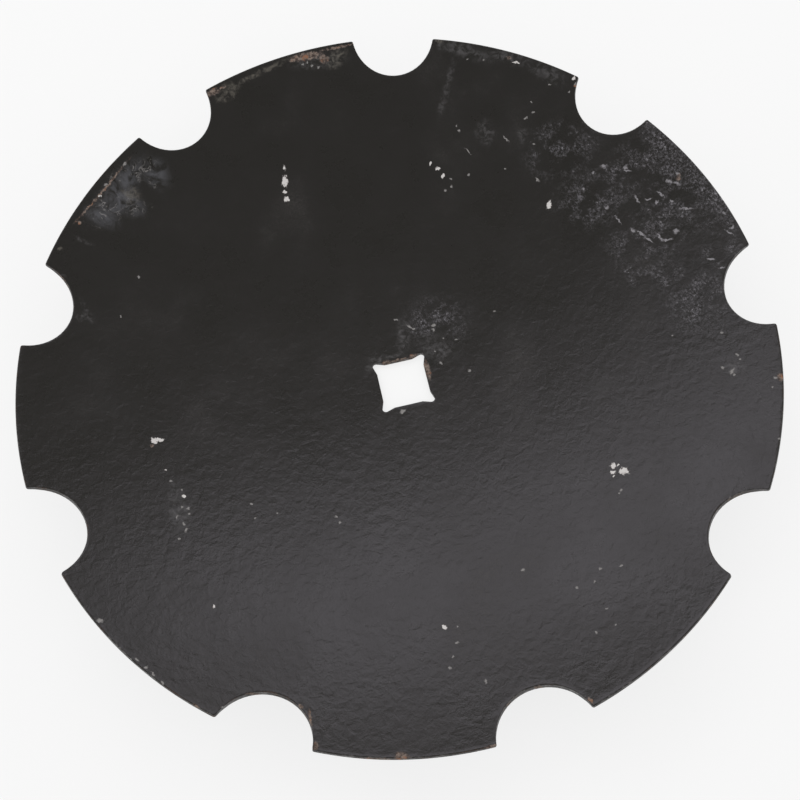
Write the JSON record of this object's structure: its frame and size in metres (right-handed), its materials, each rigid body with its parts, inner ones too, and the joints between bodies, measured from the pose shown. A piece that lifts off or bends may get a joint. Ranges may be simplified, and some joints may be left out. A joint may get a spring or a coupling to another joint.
{
  "type": "harrow disc blade",
  "caption": "Dished round steel harrow blade with rounded notches in its rim and a square axle hole, black paint worn and rusted at the edges.",
  "frame": {"origin": "on the disc's axis, level with the lower edges of the square hole's sides, on which the blade rests", "axes": "+Z along the disc's axis, towards its hollow side; X and Y square to the axle hole's sides"},
  "size_m": [0.5579, 0.5588, 0.0775],
  "materials": {
    "black_painted_steel": "satin black paint on rolled steel, chipped and rusted at the rim and the axle hole"
  },
  "bodies": {
    "root": {"disc_blade": "black_painted_steel"}
  },
  "joints": []
}
